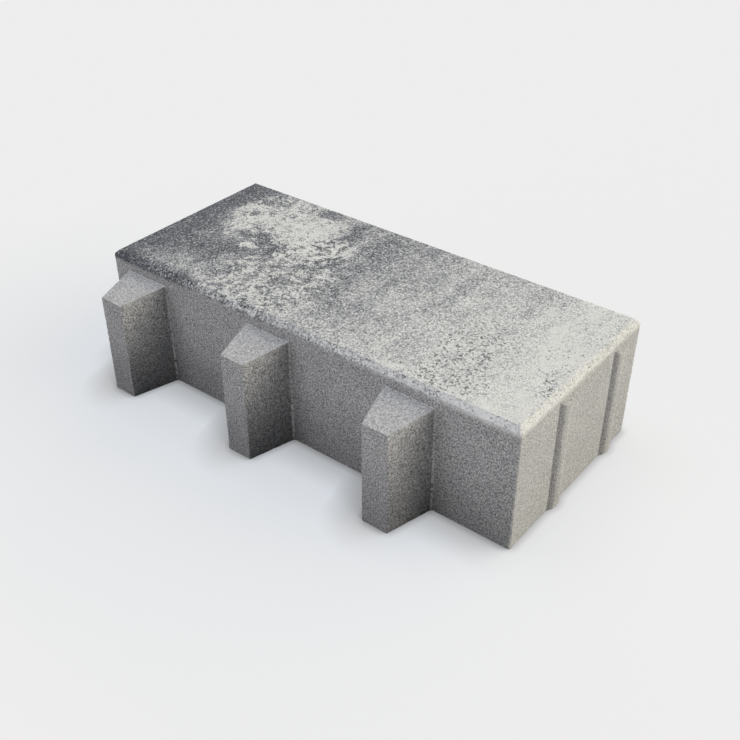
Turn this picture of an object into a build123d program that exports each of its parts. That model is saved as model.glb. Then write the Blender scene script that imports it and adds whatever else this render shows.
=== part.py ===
from build123d import *
import os

# Two-layer concrete paving block for wide grass or gravel joints. A thin coloured facing
# concrete lies on a grey backing concrete. Three tapered spacer lugs stand out of the front
# long face and two slim ribs out of the right end, so that neighbours stay their joint apart.
# Millimetres: X along the block, Y from the lugs to the back, Z up from the bed.
# The origin is on the bed plane, in the middle of the outline taken over lugs and ribs.

# Block, without lugs and ribs
block_length = 298.0
block_width = 130.0
block_height = 80.0
facing_thickness = 5.0
top_chamfer = 3.0
corner_ease = 0.8

# Spacer lugs on the front face. Drops are measured down from the walking face.
lug_names = ("left", "middle", "right")
lug_reach = 30.0
lug_pitch = 100.5
first_lug_from_left_end = 30.2
lug_root_width = 32.4
lug_tip_width = 17.0
lug_root_drop = 9.8
lug_tip_drop = 13.0
lug_root_flare = 1.5
lug_tip_radius = 1.5

# Joint ribs on the right end
rib_names = ("front", "back")
rib_reach = 2.5
rib_width = 14.0
rib_pitch = 60.0
first_rib_from_front = 45.6
rib_face_drop = 6.0
rib_crest_drop = 10.0

# Where the faces of the block lie
left_end = -(block_length + rib_reach) / 2
right_end = left_end + block_length
front_face = (lug_reach - block_width) / 2
back_face = front_face + block_width
facing_bottom = block_height - facing_thickness


def whole_block():
    """The pressed block: square, its top edge chamfered and its upright corners eased."""
    blank = Pos(left_end, front_face, 0) * Box(
        block_length, block_width, block_height, align=(Align.MIN, Align.MIN, Align.MIN)
    )
    walking_face = blank.faces().sort_by(Axis.Z)[-1]
    blank = chamfer(walking_face.edges(), top_chamfer)
    lying_edges = blank.edges().filter_by(Axis.X) + blank.edges().filter_by(Axis.Y)
    corner_edges = blank.edges() - lying_edges
    return chamfer(corner_edges, corner_ease)


def backing_block():
    """The grey backing concrete, from the bed up to the coloured facing."""
    return split(whole_block(), bisect_by=Plane.XY.offset(facing_bottom), keep=Keep.BOTTOM)


def facing_layer():
    """The coloured facing concrete, which holds the walking face and its chamfer."""
    return split(whole_block(), bisect_by=Plane.XY.offset(facing_bottom), keep=Keep.TOP)


def spacer_lug(centre_x):
    """A lug that narrows to its tip, flares into the block and falls from root to tip."""
    side_taper = (lug_root_width - lug_tip_width) / 2 / lug_reach
    neck_half_width = lug_root_width / 2 - side_taper * lug_root_flare
    tip_y = front_face - lug_reach
    neck_y = front_face - lug_root_flare
    right_side = [
        (lug_tip_width / 2, tip_y),
        (neck_half_width, neck_y),
        (neck_half_width + lug_root_flare, front_face),
    ]
    left_side = [(-x, y) for x, y in reversed(right_side)]
    outline = make_face(Polyline(*right_side, *left_side, close=True))
    upright = extrude(outline, block_height)
    tip_edges = upright.edges().filter_by(Axis.Z).sort_by(Axis.Y)[:2]
    upright = fillet(tip_edges, lug_tip_radius)

    root_top = block_height - lug_root_drop
    tip_top = block_height - lug_tip_drop
    fall = make_face(
        Plane.YZ * Polyline((tip_y, 0), (front_face, 0), (front_face, root_top), (tip_y, tip_top), close=True)
    )
    cover = extrude(fall, lug_root_width, both=True)
    return Pos(centre_x, 0, 0) * (upright & cover)


def end_rib(centre_y):
    """A shallow rounded rib on the right end, its top sloped back to the block."""
    half_width = rib_width / 2
    section = make_face(
        [
            ThreePointArc((0, -half_width), (rib_reach, 0), (0, half_width)),
            Line((0, half_width), (0, -half_width)),
        ]
    )
    upright = extrude(section, block_height)
    face_top = block_height - rib_face_drop
    crest_top = block_height - rib_crest_drop
    slope = make_face(
        Plane.XZ * Polyline((0, 0), (rib_reach, 0), (rib_reach, crest_top), (0, face_top), close=True)
    )
    cover = extrude(slope, rib_width, both=True)
    return Pos(right_end, centre_y, 0) * (upright & cover)


nodes = {"backing_block": backing_block(), "facing_layer": facing_layer()}
for place, name in enumerate(lug_names):
    lug_centre = left_end + first_lug_from_left_end + place * lug_pitch
    nodes[f"spacer_lug_{name}"] = spacer_lug(lug_centre)
for place, name in enumerate(rib_names):
    rib_centre = front_face + first_rib_from_front + place * rib_pitch
    nodes[f"end_rib_{name}"] = end_rib(rib_centre)

os.makedirs("parts", exist_ok=True)
for name, solid in nodes.items():
    export_step(solid, f"parts/{name}.step")
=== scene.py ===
import math

import bmesh
import bpy
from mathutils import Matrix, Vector


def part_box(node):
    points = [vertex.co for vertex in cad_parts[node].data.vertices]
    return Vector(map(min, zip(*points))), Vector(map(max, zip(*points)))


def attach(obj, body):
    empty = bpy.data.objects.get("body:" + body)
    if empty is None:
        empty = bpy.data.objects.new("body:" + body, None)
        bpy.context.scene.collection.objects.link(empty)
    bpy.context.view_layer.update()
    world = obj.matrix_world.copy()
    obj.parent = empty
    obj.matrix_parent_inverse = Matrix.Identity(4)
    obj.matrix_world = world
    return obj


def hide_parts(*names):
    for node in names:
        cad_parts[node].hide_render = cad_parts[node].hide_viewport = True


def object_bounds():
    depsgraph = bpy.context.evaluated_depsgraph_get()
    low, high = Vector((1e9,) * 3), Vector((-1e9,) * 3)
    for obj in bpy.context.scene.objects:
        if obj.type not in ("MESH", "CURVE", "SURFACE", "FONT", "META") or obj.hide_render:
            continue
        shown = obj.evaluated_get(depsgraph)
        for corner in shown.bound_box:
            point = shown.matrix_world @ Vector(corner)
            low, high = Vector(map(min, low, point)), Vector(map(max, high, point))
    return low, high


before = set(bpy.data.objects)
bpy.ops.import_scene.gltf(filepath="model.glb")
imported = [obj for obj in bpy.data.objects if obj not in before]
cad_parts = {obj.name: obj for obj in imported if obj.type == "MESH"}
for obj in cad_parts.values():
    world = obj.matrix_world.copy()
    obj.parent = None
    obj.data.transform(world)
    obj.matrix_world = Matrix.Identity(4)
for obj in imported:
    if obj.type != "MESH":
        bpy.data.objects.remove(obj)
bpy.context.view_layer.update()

# ---- Backing block -------------------------------------------------------------------------
# The body of the paver: grey earth-moist concrete, vibrated and pressed in a steel mould, so
# its walls are flat but sandy, with small pores and arrises that crumble a little. It lies
# on its bed face, and the coloured facing is pressed onto its open top.
mm = 0.001
backing_low, backing_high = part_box("backing_block")
backing_cells = ((17, 10), (37, 2), (43,))     # steps along X, Y and Z, before the walls are halved
corner_ease = 0.8 * mm
bed_arris_reach = 1.6 * mm
upright_arris_reach = 1.2 * mm
wave_depth = 0.08 * mm
grain_depth = 0.07 * mm
pore_depth = 0.20 * mm
bed_crumble = 0.5 * mm
arris_crumble = 0.3 * mm
smooth_angle = math.radians(28)
backing_pale = (0.72, 0.72, 0.72, 1)
backing_dark = (0.20, 0.20, 0.205, 1)
# Dark painted into the pores as their shade.
backing_pore_shade = (0.09, 0.09, 0.09, 1)
# Black for painted shade, over the bed and on the ribs' front flanks.
painted_shade_black = (0.02, 0.02, 0.02, 1)
# Pale for the painted highlight along a lug's root.
root_highlight_pale = (0.74, 0.74, 0.73, 1)


def start_box(name, low, high):
    """A box at its size and place, alone in the selection, open for editing."""
    bpy.ops.object.select_all(action="DESELECT")
    bpy.ops.mesh.primitive_cube_add(size=1, location=(low + high) / 2, scale=high - low)
    piece = bpy.context.object
    piece.name = name
    piece.data.name = name
    bpy.ops.object.transform_apply(location=True, rotation=True, scale=True)
    bpy.ops.object.mode_set(mode="EDIT")
    return piece


def pick(piece, kind, wanted):
    """Selects the corners, edges or faces of the open piece that are wanted."""
    bpy.ops.mesh.select_mode(type={"verts": "VERT", "edges": "EDGE", "faces": "FACE"}[kind])
    bpy.ops.mesh.select_all(action="DESELECT")
    mesh = bmesh.from_edit_mesh(piece.data)
    for item in getattr(mesh, kind):
        if wanted(item):
            item.select_set(True)
    mesh.select_flush_mode()
    bmesh.update_edit_mesh(piece.data)


def runs_along(axis):
    """Says whether an edge lies along X, Y or Z."""
    def wanted(edge):
        run = edge.verts[1].co - edge.verts[0].co
        return abs(run[axis]) > 0.99 * run.length
    return wanted


def cut_along(piece, wanted, steps):
    """Divides the wanted edges into equal steps, in one or two goes."""
    for count in steps:
        pick(piece, "edges", wanted)
        bpy.ops.mesh.subdivide(number_cuts=count - 1)


def ease_corners(piece, low, high, ease):
    """Pushes the four upright corner lines in towards the middle."""
    for x, inward_x in ((low.x, 1), (high.x, -1)):
        for y, inward_y in ((low.y, 1), (high.y, -1)):
            pick(piece, "verts", lambda v: abs(v.co.x - x) + abs(v.co.y - y) < 0.1 * mm)
            bpy.ops.transform.translate(value=(inward_x * ease / 2, inward_y * ease / 2, 0))


def inward(corner, low, high):
    """How far a corner lies in from the nearest end wall and from the nearest long wall."""
    return (min(corner.co.x - low.x, high.x - corner.co.x),
            min(corner.co.y - low.y, high.y - corner.co.y))


def group_of(piece, name, wanted):
    """Keeps the wanted corners of the open piece as a named vertex group."""
    piece.vertex_groups.new(name=name)
    piece.vertex_groups.active = piece.vertex_groups[name]
    pick(piece, "verts", wanted)
    bpy.ops.object.vertex_group_assign()
    bpy.ops.mesh.select_all(action="DESELECT")


def cloud(name, size, depth=2, low=0.0, high=1.0):
    """A procedural relief: cloudy noise of the given size, taken between two levels."""
    relief = bpy.data.textures.new(name, "CLOUDS")
    relief.noise_scale = size
    relief.noise_depth = depth
    relief.use_color_ramp = True
    relief.color_ramp.elements[0].position = low
    relief.color_ramp.elements[0].color = (0, 0, 0, 1)
    relief.color_ramp.elements[1].position = high
    relief.color_ramp.elements[1].color = (1, 1, 1, 1)
    return relief


def soften(piece, group, rounds):
    """Rounds the corners in a group, as wet concrete comes off a mould's edge."""
    easing = piece.modifiers.new("soften", "SMOOTH")
    easing.vertex_group = group
    easing.factor = 0.5
    easing.iterations = rounds
    bpy.ops.object.modifier_apply(modifier=easing.name)


def roughen(piece, relief, depth, level=0.5, group=""):
    """Pushes the surface in and out by a relief, and makes it part of the mesh."""
    push = piece.modifiers.new("roughen", "DISPLACE")
    push.texture = relief
    push.texture_coords = "LOCAL"
    push.direction = "NORMAL"
    push.strength = depth
    push.mid_level = level
    push.vertex_group = group
    bpy.ops.object.modifier_apply(modifier=push.name)


mould_wave = cloud("mould_wave", 30 * mm)
sand_grain = cloud("sand_grain", 0.9 * mm, low=0.25, high=0.75)
small_pore = cloud("small_pore", 1.1 * mm, depth=1, low=0.72, high=0.86)
crumbling = cloud("crumbling", 2.2 * mm, depth=2, low=0.5, high=0.9)


def press_concrete(piece):
    """The relief that every pressed face of the block shares."""
    roughen(piece, mould_wave, wave_depth)
    roughen(piece, sand_grain, grain_depth)
    roughen(piece, small_pore, -pore_depth, level=0.0)


def crumble(piece, depth, group):
    """Breaks loose grains out of the arrises in a group."""
    roughen(piece, crumbling, -depth, level=0.0, group=group)


def close_open_rim(piece):
    """Closes the one open side with a flat face."""
    bpy.ops.object.mode_set(mode="EDIT")
    pick(piece, "edges", lambda e: e.is_boundary)
    bpy.ops.mesh.edge_face_add()
    bpy.ops.mesh.select_all(action="SELECT")
    bpy.ops.mesh.normals_make_consistent(inside=False)
    bpy.ops.object.mode_set(mode="OBJECT")


def at_bed_arris(corner):
    """Says whether a corner lies close to the lower rim."""
    return (corner.co.z < backing_low.z + bed_arris_reach
            and min(inward(corner, backing_low, backing_high)) < bed_arris_reach)


backing = start_box("backing", backing_low, backing_high)
pick(backing, "faces", lambda f: f.normal.z > 0.9)
bpy.ops.mesh.delete(type="FACE")
for axis, steps in enumerate(backing_cells):
    cut_along(backing, runs_along(axis), steps)
pick(backing, "faces", lambda f: abs(f.normal.z) < 0.5)
bpy.ops.mesh.subdivide(number_cuts=1)
ease_corners(backing, backing_low, backing_high, corner_ease)
group_of(backing, "bed_arris", at_bed_arris)
group_of(backing, "arris", lambda v: sum(inward(v, backing_low, backing_high)) < upright_arris_reach)
bpy.ops.object.mode_set(mode="OBJECT")
soften(backing, "bed_arris", 2)
press_concrete(backing)
crumble(backing, bed_crumble, "bed_arris")
crumble(backing, arris_crumble, "arris")
close_open_rim(backing)


def finish_piece(piece, material, slot, *nodes):
    """Smooth shading, the material, the body it rides on and the CAD solids it stands for."""
    bpy.ops.object.select_all(action="DESELECT")
    piece.select_set(True)
    bpy.context.view_layer.objects.active = piece
    bpy.ops.object.shade_smooth_by_angle(angle=smooth_angle)
    piece.data.materials.clear()
    piece.data.materials.append(material)
    piece.vertex_groups.clear()
    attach(piece, "root")
    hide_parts(*nodes)


def add(tree, kind, **settings):
    """Adds a shader node and sets its options and its unlinked inputs by name."""
    node = tree.nodes.new(kind)
    for name, value in settings.items():
        if hasattr(node, name):
            setattr(node, name, value)
        else:
            node.inputs[name.replace("_", " ")].default_value = value
    return node


def fill(tree, sockets, values):
    """Sets or links a node's inputs in turn."""
    for socket, value in zip(sockets, values):
        if isinstance(value, (int, float, tuple)):
            socket.default_value = value
        else:
            tree.links.new(value, socket)


def math_of(tree, operation, first, second, clamp=False):
    """One arithmetic step on two values or links."""
    node = add(tree, "ShaderNodeMath", operation=operation, use_clamp=clamp)
    fill(tree, node.inputs, (first, second))
    return node.outputs[0]


def plus(tree, first, second):
    """The sum of two values or links."""
    return math_of(tree, "ADD", first, second)


def minus(tree, first, second):
    """What is left of the first when the second is taken away."""
    return math_of(tree, "SUBTRACT", first, second)


def times(tree, first, second):
    """The product of two values or links."""
    return math_of(tree, "MULTIPLY", first, second)


def swing_of(tree, value, middle, gain):
    """How far a value lies from its middle, times a gain."""
    return times(tree, minus(tree, value, middle), gain)


def step_between(tree, value, low, high):
    """Zero at the low level, one at the high level, with a soft run between them."""
    node = add(tree, "ShaderNodeMapRange", interpolation_type="SMOOTHSTEP", From_Min=low, From_Max=high)
    tree.links.new(value, node.inputs["Value"])
    return node.outputs["Result"]


def band(tree, value, rise, fall):
    """One between a rise and a fall, each given by the level where it is zero and where one."""
    return times(tree, step_between(tree, value, *rise), step_between(tree, value, *fall))


def blend(tree, amount, first, second, way="MIX"):
    """Mixes two colours by an amount."""
    node = add(tree, "ShaderNodeMix", data_type="RGBA", blend_type=way)
    fill(tree, [socket for socket in node.inputs if socket.enabled], (amount, first, second))
    return [socket for socket in node.outputs if socket.enabled][0]


def noise(tree, place, scale, detail=3.0, roughness=0.5, distortion=0.0):
    """Soft noise; scale counts its waves in a metre."""
    node = add(tree, "ShaderNodeTexNoise",
               Scale=scale, Detail=detail, Roughness=roughness, Distortion=distortion)
    tree.links.new(place, node.inputs["Vector"])
    return node.outputs["Fac"]


def grain_cells(tree, place, scale):
    """Cells like sand grains, so many in a metre: how far each point lies from its grain's
    middle, and three random tones for the grain."""
    cells = add(tree, "ShaderNodeTexVoronoi", Scale=scale)
    tree.links.new(place, cells.inputs["Vector"])
    tones = add(tree, "ShaderNodeSeparateColor")
    tree.links.new(cells.outputs["Color"], tones.inputs["Color"])
    return cells.outputs["Distance"], tones.outputs


def parts_of(tree, place):
    """The X, Y and Z of a place."""
    node = add(tree, "ShaderNodeSeparateXYZ")
    tree.links.new(place, node.inputs[0])
    return node.outputs


def group_tree(name, inputs, outputs):
    """An empty node group with its named ends: what goes in, and what comes out."""
    tree = bpy.data.node_groups.new(name, "ShaderNodeTree")
    for label, kind, value in inputs:
        tree.interface.new_socket(label, in_out="INPUT", socket_type=kind).default_value = value
    for label, kind in outputs:
        tree.interface.new_socket(label, in_out="OUTPUT", socket_type=kind)
    return tree, tree.nodes.new("NodeGroupInput").outputs, tree.nodes.new("NodeGroupOutput").inputs


def colour_group(name):
    """An empty node group that gives the colour at a place, from its sand grain and its pores."""
    return group_tree(
        name,
        [("Vector", "NodeSocketVector", (0, 0, 0)), ("Grain", "NodeSocketFloat", 0.5),
         ("Pores", "NodeSocketFloat", 0.0)],
        [("Color", "NodeSocketColor")])


# The sand in the concrete: each grain its own grey under a finer dust, small pores, and a
# height for the bump, which stands up at each grain's middle and falls into the pores.
grains_per_metre = 1300.0
dust_per_metre = 1000.0
dust_contrast = 2.1
pores_per_metre = 1150.0
pore_levels = (0.63, 0.68)
pore_fall = 0.9
sand, sand_in, sand_out = group_tree(
    "sand and pores",
    [("Vector", "NodeSocketVector", (0, 0, 0))],
    [("Grain", "NodeSocketFloat"), ("Pores", "NodeSocketFloat"), ("Height", "NodeSocketFloat")])
from_middle, grain_tones = grain_cells(sand, sand_in["Vector"], grains_per_metre)
half_tone = times(sand, grain_tones["Red"], 0.50)
rounded = minus(sand, 1.45, times(sand, from_middle, 1.9))
grain_relief = plus(sand, half_tone, times(sand, rounded, 0.50))
dust = times(sand, noise(sand, sand_in["Vector"], dust_per_metre, detail=1.0, roughness=0.6), dust_contrast)
mixed_tone = plus(sand, times(sand, half_tone, 0.75), minus(sand, dust, 0.77))
pore_noise = noise(sand, sand_in["Vector"], pores_per_metre, detail=1.0)
pores = step_between(sand, pore_noise, *pore_levels)
height = minus(sand, grain_relief, times(sand, pores, pore_fall))
for label, link in (("Grain", mixed_tone), ("Pores", pores), ("Height", height)):
    sand.links.new(link, sand_out[label])

# The backing's colour: grey cement paste between paler and darker sand, slightly clouded. The
# right end and the tops of the lugs, which fall to 67 mm at their tips, come off the mould
# smoother than the long face.
grain_contrast = 1.15
grain_contrast_lost = 0.55                     # on a smooth face
pore_shade_share = 0.7
pore_shade_share_lost = 0.45                       # on a smooth face
lug_smoothness = 0.7
cloud_contrast = 0.20
middle_tone = 0.53
grey_mix, grey_in, grey_out = colour_group("backing colour")
grey_at = parts_of(grey_mix, grey_in["Vector"])
on_end = step_between(grey_mix, grey_at["X"], backing_high.x - 1.2 * mm, backing_high.x - 0.4 * mm)
on_lug_top = times(
    grey_mix,
    step_between(grey_mix, grey_at["Y"], backing_low.y - 0.5 * mm, backing_low.y - 1.5 * mm),
    step_between(grey_mix, grey_at["Z"], 66.0 * mm, 67.0 * mm))
smooth_face = math_of(grey_mix, "MAXIMUM", on_end, times(grey_mix, on_lug_top, lug_smoothness))
grain_gain = minus(grey_mix, grain_contrast, times(grey_mix, smooth_face, grain_contrast_lost))
grain_swing = swing_of(grey_mix, grey_in["Grain"], 0.5, grain_gain)
clouding = noise(grey_mix, grey_in["Vector"], 38.0, detail=3.0, roughness=0.6)
cloud_swing = swing_of(grey_mix, clouding, 0.5, cloud_contrast)
tone = plus(grey_mix, plus(grey_mix, grain_swing, cloud_swing), middle_tone)
paste = blend(grey_mix, tone, backing_dark, backing_pale)
# The pores are painted dark, a painted shade in their hollows.
pore_shade_gain = minus(grey_mix, pore_shade_share, times(grey_mix, smooth_face, pore_shade_share_lost))
paste = blend(grey_mix, times(grey_mix, grey_in["Pores"], pore_shade_gain), paste, backing_pore_shade)
# The long faces are painted darker towards the bed, a painted shade where their foot gets less
# light. The end shows little of that.
bed_shade_share = 0.40
painted_bed_shade = times(grey_mix, step_between(grey_mix, grey_at["Z"], 58 * mm, 2 * mm),
              minus(grey_mix, 1.0, times(grey_mix, on_end, 0.85)))
paste = blend(grey_mix, times(grey_mix, painted_bed_shade, bed_shade_share), paste, painted_shade_black)
# The narrow flare at a lug's root is painted pale in a broken line, a painted highlight.
root_flare = 1.0 * mm
root_highlight_share = 0.85
painted_root_highlight = band(grey_mix, grey_at["Y"],
                 (backing_low.y - root_flare - 0.15 * mm, backing_low.y - root_flare),
                 (backing_low.y - 0.05 * mm, backing_low.y - 0.2 * mm))
breaks = noise(grey_mix, grey_in["Vector"], 500.0, detail=2.0, roughness=0.7)
painted_root_highlight = times(grey_mix, painted_root_highlight, step_between(grey_mix, breaks, 0.34, 0.56))
paste = blend(grey_mix, times(grey_mix, painted_root_highlight, root_highlight_share), paste, root_highlight_pale)
# Each rib's front flank is painted darker, a painted shade in the groove beside the rib.
flank_shade_share = 0.28
for rib_node in ("end_rib_front", "end_rib_back"):
    rib_low_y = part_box(rib_node)[0].y
    past_wall = step_between(grey_mix, grey_at["X"],
                             backing_high.x + 0.05 * mm, backing_high.x + 0.4 * mm)
    over_flank = band(grey_mix, grey_at["Y"], (rib_low_y - 0.5 * mm, rib_low_y),
                      (rib_low_y + 4.5 * mm, rib_low_y + 2.5 * mm))
    flank = times(grey_mix, past_wall, over_flank)
    paste = blend(grey_mix, times(grey_mix, flank, flank_shade_share), paste, painted_shade_black)
grey_mix.links.new(paste, grey_out["Color"])


# ---- Facing layer --------------------------------------------------------------------------
# The walking face: a thin layer of finer concrete in white, grey and anthracite, filled into
# the mould in loose heaps so that the colours run together in streaks and ragged islands,
# then pressed onto the fresh backing with a chamfer all round.
facing_low, facing_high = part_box("facing_layer")
facing_cells = ((22, 20), (24, 8))             # steps along X and Y
facing_depth = 5.0 * mm
chamfer_size = 3.0 * mm
rim_steps = 3
chamfer_steps = 6
chamfer_reach = 1.4 * chamfer_size
chamfer_crumble = 0.25 * mm
white_mix = (0.735, 0.735, 0.710, 1)
cool_white_mix = (0.64, 0.65, 0.66, 1)
# Paler whites painted on the chamfer, most of all on the front one, as a painted highlight.
chamfer_highlight_white = (0.735, 0.735, 0.715, 1)
front_chamfer_highlight = (0.81, 0.81, 0.795, 1)
anthracite_mix = (0.070, 0.075, 0.088, 1)
grit_black = (0.09, 0.10, 0.10, 1)
# Dark painted into the facing's pores as their shade.
facing_pore_shade = (0.05, 0.05, 0.055, 1)
# How the white share rises along the mould, from the anthracite end on the left to the white
# end on the right: where each rise starts and ends, in millimetres, and how much it adds.
first_share = 0.13
rises = ((16, 30, 0.05), (58, 98, 0.27), (125, 215, 0.17), (244, 276, 0.29))
# Heaps of white (up) or anthracite (down) mix that lie in that run: place from the left front
# corner and half sizes in millimetres, turn in degrees, and how much white share they add.
heaps = (
    # The anthracite end, with white spurs that reach into it and a paler front.
    (6, 65, 15, 90, 0, -0.16),
    (26, 116, 10, 10, 0, -0.10),
    (30, 79, 9, 7, 0, 0.12),
    (32, 85, 17, 18, -30, 0.18),
    (34, 92, 4, 3, 0, -0.22),
    (38, 3, 30, 5, 0, -0.14),
    (40, 14, 26, 9, 0, 0.12),
    (46, 66, 20, 9, -12, 0.26),
    (48, 44, 30, 10, 4, -0.04),
    # The big white heap near the back, its ragged foot and the islands in front of it.
    (50, 20, 11, 8, 0, 0.11),
    (50, 52, 34, 5, 8, 0.06),
    (56, 70, 11, 4, 24, -0.22),
    (60, 101, 40, 30, -4, 0.34),
    (62, 97, 14, 18, 0, 0.14),
    (64, 57, 5, 3, 0, 0.40),
    (70, 40, 11, 9, 0, 0.13),
    (70, 78, 8, 7, 0, 0.10),
    (72, 5, 12, 8, 0, 0.10),
    (72, 26, 14, 20, 0, 0.16),
    (80, 121, 11, 6, 0, -0.30),
    (90, 68, 11, 14, 0, 0.14),
    (92, 14, 20, 17, 0, 0.06),
    # The speckled grey middle, darker towards the back.
    (108, 36, 28, 46, 0, 0.08),
    (108, 112, 5, 18, 0, -0.22),
    (110, 38, 9, 8, 0, -0.09),
    (112, 60, 9, 8, 0, -0.15),
    (115, 88, 9, 12, 15, 0.16),
    (128, 122, 20, 10, 0, -0.06),
    (130, 26, 12, 12, 0, 0.08),
    (130, 80, 9, 8, 0, 0.12),
    (132, 70, 14, 12, -20, -0.10),
    (134, 98, 12, 26, 0, -0.16),
    (144, 44, 10, 2, -14, -0.30),
    (156, 36, 18, 8, 0, -0.06),
    (158, 88, 22, 20, 0, -0.05),
    (160, 112, 20, 20, 0, -0.06),
    (164, 121, 24, 9, 0, -0.06),
    (170, 7, 56, 7, 0, 0.08),
    # The white end, with faint grey streaks across it.
    (200, 92, 5, 30, 0, -0.05),
    (208, 92, 12, 26, 0, -0.06),
    (213, 66, 6, 60, 0, 0.05),
    # Along the front edge: paints the front chamfer paler, a painted highlight.
    (222, 4, 16, 9, 0, 0.18),
    (232, 84, 22, 14, 0, 0.07),
    (238, 40, 18, 44, 8, 0.16),
    (258, 80, 12, 30, 0, 0.06),
    # Along the front edge: paints the front chamfer paler, a painted highlight.
    (262, 3, 26, 6, 0, 0.08),
    (283, 44, 7, 3, 35, -0.12),
    (288, 104, 12, 16, 0, -0.05),
)
# Where white and anthracite stayed apart in crisp clots, with how crisp they are there.
crisp_places = (
    (58, 92, 50, 36, 0, 0.50),
    (104, 36, 36, 50, 0, 0.54),
    (112, 86, 12, 24, 0, 0.46),
)
# Where loose black grit was strewn, with how much of it.
grit_places = (
    (52, 76, 30, 14, 0, 0.05),
    (106, 40, 36, 50, 0, 0.078),
    (150, 60, 150, 90, 0, 0.01),
    (178, 72, 12, 14, 0, 0.05),
    (222, 8, 12, 12, 0, 0.05),
    (240, 36, 17, 44, 8, 0.085),
    (284, 50, 6, 3, 30, 0.10),
    (289, 38, 4, 6, 0, 0.09),
)


def facing_blank():
    """The layer with its short rim, chamfer and face, as one open shell with even cells."""
    rim_high = Vector((facing_high.x, facing_high.y, facing_high.z - chamfer_size))
    piece = start_box("facing", facing_low, rim_high)
    middle = (facing_low + facing_high) / 2
    size = facing_high - facing_low
    pick(piece, "faces", lambda f: f.normal.z < -0.9)
    bpy.ops.mesh.delete(type="FACE")
    pick(piece, "faces", lambda f: f.normal.z > 0.9)
    bpy.ops.mesh.extrude_region_move(TRANSFORM_OT_translate={"value": (0, 0, chamfer_size)})
    bpy.ops.transform.resize(
        value=((size.x - 2 * chamfer_size) / size.x, (size.y - 2 * chamfer_size) / size.y, 1),
        center_override=(middle.x, middle.y, facing_high.z))
    for axis, steps in enumerate(facing_cells):
        cut_along(piece, runs_along(axis), steps)
    cut_along(piece, runs_along(2), (rim_steps,))

    def on_hip(edge):
        run = edge.verts[1].co - edge.verts[0].co
        return abs(run.z) > 0.9 * chamfer_size
    cut_along(piece, on_hip, (chamfer_steps,))
    return piece


def at_chamfer(corner):
    """Says whether a corner lies on the chamfer or close to it."""
    return (corner.co.z > facing_high.z - chamfer_reach
            and min(inward(corner, facing_low, facing_high)) < chamfer_reach)


facing = facing_blank()
ease_corners(facing, facing_low, facing_high, corner_ease)
group_of(facing, "chamfer", at_chamfer)
bpy.ops.object.mode_set(mode="OBJECT")
soften(facing, "chamfer", 1)
press_concrete(facing)
crumble(facing, chamfer_crumble, "chamfer")
close_open_rim(facing)


def vector_step(tree, operation, place, **settings):
    """One step of vector arithmetic on a place."""
    node = add(tree, "ShaderNodeVectorMath", operation=operation, **settings)
    tree.links.new(place, node.inputs[0])
    return node


def ragged_run(tree, place, wave, swing):
    """Shifts a place by soft noise, so that what is drawn there gets a ragged outline."""
    warp = add(tree, "ShaderNodeTexNoise", Scale=1 / wave, Detail=4.0, Roughness=0.62)
    tree.links.new(place, warp.inputs["Vector"])
    centred = vector_step(tree, "SUBTRACT", warp.outputs["Color"])
    centred.inputs[1].default_value = (0.5, 0.5, 0.5)
    scaled = vector_step(tree, "SCALE", centred.outputs[0], Scale=swing)
    shifted = vector_step(tree, "ADD", place)
    tree.links.new(scaled.outputs[0], shifted.inputs[1])
    return shifted.outputs[0]


heap_edge = (1.3, 0.7)                         # a heap's rim, in shares of its half size


def add_heaps(tree, place, start, places):
    """Adds up soft oval heaps over a starting value."""
    total = start
    for x, y, half_x, half_y, turn, gain in places:
        spot = add(tree, "ShaderNodeMapping", vector_type="TEXTURE",
                   Location=(facing_low.x + x * mm, facing_low.y + y * mm, facing_high.z),
                   Rotation=(0, 0, math.radians(turn)),
                   Scale=(half_x * mm, half_y * mm, 1))
        tree.links.new(place, spot.inputs["Vector"])
        reach = vector_step(tree, "LENGTH", spot.outputs[0])
        inside = step_between(tree, reach.outputs["Value"], *heap_edge)
        total = plus(tree, times(tree, inside, gain), total)
    return total


# The facing's colour: the share of white in the anthracite, as it runs along the mould.
colour_mix, colour_in, colour_out = colour_group("facing colour")
spot_place = colour_in["Vector"]
spot_at = parts_of(colour_mix, spot_place)
ragged_place = ragged_run(colour_mix, spot_place, wave=15 * mm, swing=20 * mm)
ragged_at = parts_of(colour_mix, ragged_place)
share = first_share
for starts, ends, gain in rises:
    rise = step_between(colour_mix, ragged_at["X"], facing_low.x + starts * mm, facing_low.x + ends * mm)
    share = plus(colour_mix, times(colour_mix, rise, gain), share)
share = add_heaps(colour_mix, ragged_place, share, heaps)
# Soft clouds, drawn out across the paver by the filling box as it passes.
cloud_strength = 0.55
drawn_out = vector_step(colour_mix, "MULTIPLY", spot_place)
drawn_out.inputs[1].default_value = (1, 0.4, 1)
clouds = noise(colour_mix, drawn_out.outputs[0], 110.0, detail=4.0, roughness=0.6, distortion=0.4)
share = plus(colour_mix, swing_of(colour_mix, clouds, 0.5, cloud_strength), share)
# Clots a few millimetres across: white where the share is high, anthracite where it is low.
clot_levels = (0.60, 0.74)
clots_from_share = 0.34
crisp_everywhere = 0.07
clots = noise(colour_mix, spot_place, 230.0, detail=5.0, roughness=0.82, distortion=0.3)
clots = plus(colour_mix, clots, times(colour_mix, share, clots_from_share))
clotted = step_between(colour_mix, clots, *clot_levels)
crispness = add_heaps(colour_mix, ragged_place, crisp_everywhere, crisp_places)
share = plus(colour_mix, share, times(colour_mix, crispness, minus(colour_mix, clotted, share)))
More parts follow.
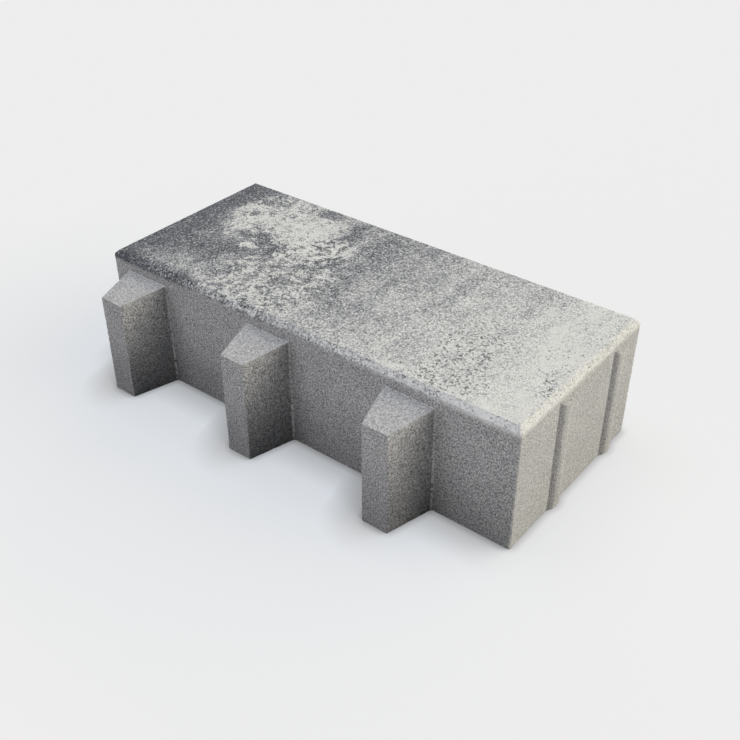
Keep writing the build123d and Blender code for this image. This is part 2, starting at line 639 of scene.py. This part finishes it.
# Coarse sand of both colours, each grain its own tone. The white end is pressed smoother, so
# its grains differ less.
coarse_contrast = 0.66
fine_contrast = 0.50
sand_tones = grain_cells(colour_mix, spot_place, 1150.0)[1]
swing = plus(colour_mix, swing_of(colour_mix, sand_tones["Green"], 0.45, coarse_contrast),
             swing_of(colour_mix, colour_in["Grain"], 0.5, fine_contrast))
swing = times(colour_mix, swing, step_between(colour_mix, share, 1.20, 0.65))
share = plus(colour_mix, share, swing)
# Here and there a single white grain.
salt_levels = (0.87, 0.91)
salt_strength = 0.28
salt = step_between(colour_mix, sand_tones["Blue"], *salt_levels)
share = math_of(colour_mix, "ADD", times(colour_mix, salt, salt_strength), share, clamp=True)
white_tone = blend(colour_mix, step_between(colour_mix, share, 0.55, 0.85), cool_white_mix, white_mix)
# The chamfer is painted paler, most of all the front one: a painted highlight.
on_chamfer = step_between(colour_mix, spot_at["Z"], facing_high.z - 0.2 * mm, facing_high.z - 0.6 * mm)
on_front = step_between(colour_mix, spot_at["Y"], facing_low.y + 3.4 * mm, facing_low.y + 2.6 * mm)
chamfer_highlight_tone = blend(colour_mix, on_front, chamfer_highlight_white, front_chamfer_highlight)
white_tone = blend(colour_mix, on_chamfer, white_tone, chamfer_highlight_tone)
surface = blend(colour_mix, share, anthracite_mix, white_tone)
# Black grit strewn over the face, in ragged bits of a millimetre or two, and the open pores,
# painted dark as a painted shade in their hollows.
grit_levels = (0.665, 0.69)
grit_strength = 0.85
facing_pore_shade_share = 0.35
grit = noise(colour_mix, spot_place, 620.0, detail=2.0, roughness=0.6, distortion=0.3)
strewn = add_heaps(colour_mix, ragged_place, 0.0, grit_places)
speck = step_between(colour_mix, plus(colour_mix, grit, strewn), *grit_levels)
surface = blend(colour_mix, times(colour_mix, speck, grit_strength), surface, grit_black)
painted_pore_shade = times(colour_mix, colour_in["Pores"], facing_pore_shade_share)
surface = blend(colour_mix, painted_pore_shade, surface, facing_pore_shade)
colour_mix.links.new(surface, colour_out["Color"])


joint_waves_per_metre = 160.0
joint_swing = 3.5 * mm
joint_blur = 1.8 * mm


def concrete(name):
    """Pressed concrete: the grey backing, under the colours of the facing above a ragged line."""
    material = bpy.data.materials.new(name)
    material.use_nodes = True
    tree = material.node_tree
    shader = tree.nodes["Principled BSDF"]
    here = add(tree, "ShaderNodeTexCoord").outputs["Object"]
    texture = add(tree, "ShaderNodeGroup", node_tree=sand)
    tree.links.new(here, texture.inputs["Vector"])
    colours = []
    for mix in (grey_mix, colour_mix):
        group = add(tree, "ShaderNodeGroup", node_tree=mix)
        fill(tree, group.inputs, (here, texture.outputs["Grain"], texture.outputs["Pores"]))
        colours.append(group.outputs["Color"])
    ragged = noise(tree, here, joint_waves_per_metre, detail=4.0, roughness=0.7)
    line = plus(tree, parts_of(tree, here)["Z"], swing_of(tree, ragged, 0.5, joint_swing))
    joint = facing_high.z - facing_depth
    covered = step_between(tree, line, joint - joint_blur, joint + joint_blur)
    tree.links.new(blend(tree, covered, colours[0], colours[1]), shader.inputs["Base Color"])
    shader.inputs["Roughness"].default_value = 0.88
    shader.inputs["Specular IOR Level"].default_value = 0.35
    bump = add(tree, "ShaderNodeBump", Strength=0.75, Distance=0.45 * mm)
    tree.links.new(texture.outputs["Height"], bump.inputs["Height"])
    tree.links.new(bump.outputs["Normal"], shader.inputs["Normal"])
    return material


# The two concretes were pressed together while fresh, so along the joint each piece shows
# some of the other's colour, and both are finished here.
facing_concrete = concrete("facing_concrete")
backing_concrete = concrete("backing_concrete")
finish_piece(backing, backing_concrete, "backing_concrete", "backing_block")
finish_piece(facing, facing_concrete, "facing_concrete", "facing_layer")


# ---- Spacer lugs ---------------------------------------------------------------------------
# Three tapered lugs that keep the wide joint open, pressed in one with the backing. They
# flare into the block's face, their tops fall to the tip, and their edges are eased.
into_block = 0.6 * mm
tip_width = 17.0 * mm
tip_fall = 3.2 * mm
lug_cells = ((6, 6), (58,), (11, 12))          # steps along X, Y and Z
flare_steps = 2
sharp_angle = math.radians(40)


def spacer_lug(name, low, high):
    """One lug, from a box that is narrowed to its tip and flared at its root."""
    centre_x = (low.x + high.x) / 2
    root_half = (high.x - low.x) / 2
    neck_y = high.y - root_flare
    neck_half = root_half - root_flare
    piece = start_box(name, Vector((centre_x - neck_half, low.y, low.z)),
                      Vector((centre_x + neck_half, neck_y, high.z)))
    pick(piece, "faces", lambda f: f.normal.y < -0.9)
    bpy.ops.transform.resize(value=(tip_width / (2 * neck_half), 1, 1),
                             center_override=(centre_x, low.y, low.z))
    pick(piece, "faces", lambda f: f.normal.y > 0.9)
    bpy.ops.mesh.extrude_region_move(TRANSFORM_OT_translate={"value": (0, root_flare, 0)})
    bpy.ops.transform.resize(value=(root_half / neck_half, 1, 1),
                             center_override=(centre_x, high.y, low.z))
    bpy.ops.mesh.extrude_region_move(TRANSFORM_OT_translate={"value": (0, into_block, 0)})

    def run_in_y(edge):
        return abs(edge.verts[0].co.y - edge.verts[1].co.y)
    cut_along(piece, runs_along(0), lug_cells[0])
    cut_along(piece, lambda e: run_in_y(e) > 5 * mm, lug_cells[1])
    cut_along(piece, lambda e: 0.9 * mm < run_in_y(e) < 2 * mm, (flare_steps,))
    cut_along(piece, runs_along(2), lug_cells[2])
    return piece


def fall_of_top(piece, low, high):
    """Tips the top down towards the tip, as the mould's draught shapes it."""
    mesh = bmesh.from_edit_mesh(piece.data)
    for corner in mesh.verts:
        out = (high.y - corner.co.y) / (high.y - low.y)
        corner.co.z -= max(out, 0) * tip_fall * (corner.co.z - low.z) / (high.z - low.z)
    bmesh.update_edit_mesh(piece.data)


def corners_near_arrises(piece, root_y):
    """The corners on a lug's sharp edges and one step beside them, but not those of its root."""
    mesh = bmesh.from_edit_mesh(piece.data)
    sharp = set()
    for edge in mesh.edges:
        if len(edge.link_faces) == 2 and edge.calc_face_angle(0) > sharp_angle:
            sharp.update(v.index for v in edge.verts if v.co.y < root_y - 2 * root_flare)
    near = set(sharp)
    for corner in mesh.verts:
        if corner.index in sharp:
            beside = [edge.other_vert(corner) for edge in corner.link_edges]
            near.update(v.index for v in beside if v.co.y < root_y - root_flare)
    return near


for side in ("left", "middle", "right"):
    node = f"spacer_lug_{side}"
    low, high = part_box(node)
    lug = spacer_lug(f"lug_{side}", low, high)
    fall_of_top(lug, low, high)
    near = corners_near_arrises(lug, high.y)
    group_of(lug, "arris", lambda v: v.index in near)
    bpy.ops.object.mode_set(mode="OBJECT")
    soften(lug, "arris", 1)
    press_concrete(lug)
    crumble(lug, arris_crumble, "arris")
    finish_piece(lug, backing_concrete, "backing_concrete", node)


# ---- End ribs ------------------------------------------------------------------------------
# Two low rounded ribs on the right end, pressed in one with the backing, which keep the
# narrow butt joint open. Each has a half-round section and a top that slopes back.
rib_cells = ((24,), (15, 10))                  # steps round the section and up
crest_fall = 4.0 * mm
crest_sharpness = 12                           # how late the top begins to slope back


def end_rib(name, node):
    """One rib: a box whose outer face is raised into a round back and cut to a slope on top."""
    low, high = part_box(node)
    reach = high.x - low.x
    half = (high.y - low.y) / 2
    middle_y = (low.y + high.y) / 2
    radius = (half * half + reach * reach) / (2 * reach)
    piece = start_box(name, Vector((low.x - into_block, low.y, low.z)), Vector((low.x, high.y, high.z)))
    cut_along(piece, runs_along(1), rib_cells[0])
    cut_along(piece, runs_along(2), rib_cells[1])
    mesh = bmesh.from_edit_mesh(piece.data)
    for corner in mesh.verts:
        if corner.co.x > low.x - into_block / 2:
            across = corner.co.y - middle_y
            out = math.sqrt(max(radius * radius - across * across, 0)) - (radius - reach)
            corner.co.x += out
            up = (corner.co.z - low.z) / (high.z - low.z)
            corner.co.z -= crest_fall * up ** crest_sharpness * out / reach
    bmesh.update_edit_mesh(piece.data)
    bpy.ops.mesh.select_all(action="SELECT")
    bpy.ops.mesh.normals_make_consistent(inside=False)
    bpy.ops.object.mode_set(mode="OBJECT")
    return piece


for place_name in ("front", "back"):
    node = f"end_rib_{place_name}"
    rib = end_rib(f"rib_{place_name}", node)
    press_concrete(rib)
    finish_piece(rib, backing_concrete, "backing_concrete", node)


# ---- Floor, light and camera ---------------------------------------------------------------
# A plain pale floor in a plain pale studio. The main light comes from the right, a warmer one
# from behind it, a cool one from high on the left and a weak one low from the front. The
# camera looks down on the front and the right end.
studio_tone = (0.86, 0.86, 0.86, 1)
floor_tone = (0.52, 0.52, 0.52, 1)
# What the block shuts out of the floor's light: how far it reaches, towards which light the
# floor looks for it, and the light's share of the pale tone.
shelter_parts = ((200 * mm, (0.6, 0.6, 0.53), (0.32, 0.25, 0.16, 1)),
                 (25 * mm, (0.8, 0.2, 0.55), (0.68, 0.75, 0.84, 1)))
contact_reach = 5 * mm
contact_share = 0.7
pale_strength = 0.93
pale_share = 0.80
light_spread = math.radians(40)
camera_aim = Vector((0.0089, 0.0085, 0.0238))
camera_distance = 0.6361
camera_turn = math.radians(38)
camera_rise = math.radians(35)

bpy.ops.object.select_all(action="DESELECT")
block_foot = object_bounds()[0][2]                 # the block stands on its lowest grains
bpy.ops.mesh.primitive_plane_add(size=8, location=(0, 0, block_foot))
floor = bpy.context.object
floor.name = "floor"
floor_material = bpy.data.materials.new("floor")
floor_material.use_nodes = True
floor_tree = floor_material.node_tree
floor_shader = floor_tree.nodes["Principled BSDF"]
floor_shader.inputs["Base Color"].default_value = floor_tone
floor_shader.inputs["Roughness"].default_value = 1.0
floor_shader.inputs["Specular IOR Level"].default_value = 0.0
# To the camera most of the floor is an even pale tone, which darkens where the block shuts out
# the light: widely where the warm light is shut out, narrowly round its foot, and in the corners.
open_light = (0, 0, 0, 1)
for reach, towards, part in shelter_parts:
    shelter = add(floor_tree, "ShaderNodeAmbientOcclusion", samples=16, Distance=reach, Color=part)
    direction = add(floor_tree, "ShaderNodeCombineXYZ")
    fill(floor_tree, direction.inputs, towards)
    floor_tree.links.new(direction.outputs[0], shelter.inputs["Normal"])
    open_light = blend(floor_tree, 1.0, open_light, shelter.outputs["Color"], way="ADD")
contact = add(floor_tree, "ShaderNodeAmbientOcclusion", samples=16, Distance=contact_reach)
open_light = blend(floor_tree, contact_share, open_light, contact.outputs["Color"], way="MULTIPLY")
pale = add(floor_tree, "ShaderNodeEmission", Strength=pale_strength)
floor_tree.links.new(open_light, pale.inputs["Color"])


def to_the_camera(tree, share=1.0):
    """The share for rays that come from the camera, straight or by gloss or glass."""
    path = add(tree, "ShaderNodeLightPath")
    seen = math_of(tree, "MAXIMUM", path.outputs["Is Camera Ray"], path.outputs["Is Glossy Ray"])
    seen = math_of(tree, "MAXIMUM", seen, path.outputs["Is Transmission Ray"])
    return times(tree, seen, share)


def show(tree, amount, lit, seen, output):
    """Shows one shader or background over another by an amount."""
    both = add(tree, "ShaderNodeMixShader")
    fill(tree, both.inputs, (amount, lit.outputs[0], seen.outputs[0]))
    tree.links.new(both.outputs[0], tree.nodes[output].inputs["Surface"])


show(floor_tree, to_the_camera(floor_tree, pale_share), floor_shader, pale, "Material Output")
floor.data.materials.append(floor_material)

world = bpy.data.worlds.new("studio")
bpy.context.scene.world = world
world.use_nodes = True
dark_studio = world.node_tree.nodes["Background"]
dark_studio.inputs["Color"].default_value = (0, 0, 0, 1)
pale_studio = add(world.node_tree, "ShaderNodeBackground", Color=studio_tone, Strength=1.0)
show(world.node_tree, to_the_camera(world.node_tree), dark_studio, pale_studio, "World Output")


def soft_light(name, turn, rise, strength, colour):
    """A wide soft light from a turn, anticlockwise from the right, and a rise, in degrees."""
    turn = math.radians(turn)
    rise = math.radians(rise)
    towards = Vector((math.cos(rise) * math.cos(turn), math.cos(rise) * math.sin(turn), math.sin(rise)))
    bpy.ops.object.light_add(type="SUN", location=towards)
    lamp = bpy.context.object
    lamp.name = name
    lamp.data.energy = strength
    lamp.data.color = colour
    lamp.data.angle = light_spread
    lamp.rotation_euler = (-towards).to_track_quat("-Z", "Y").to_euler()


soft_light("right_light", 25, 25, 2.14, (1.0, 0.96, 0.90))
soft_light("warm_light", 50, 25, 1.26, (1.0, 0.94, 0.69))
soft_light("high_light", 180, 65, 1.98, (0.90, 0.93, 1.0))
soft_light("low_fill", -110, 10, 1.09, (0.97, 0.96, 1.0))

back = Vector((math.sin(camera_turn) * math.cos(camera_rise),
               -math.cos(camera_turn) * math.cos(camera_rise),
               math.sin(camera_rise)))
bpy.ops.object.camera_add(location=camera_aim + back * camera_distance,
                          rotation=(math.pi / 2 - camera_rise, 0, camera_turn))
camera = bpy.context.object
camera.data.lens = 50
camera.data.sensor_width = 36
camera.data.clip_start = 0.01
bpy.context.scene.camera = camera
bpy.context.scene.view_settings.view_transform = "Standard"
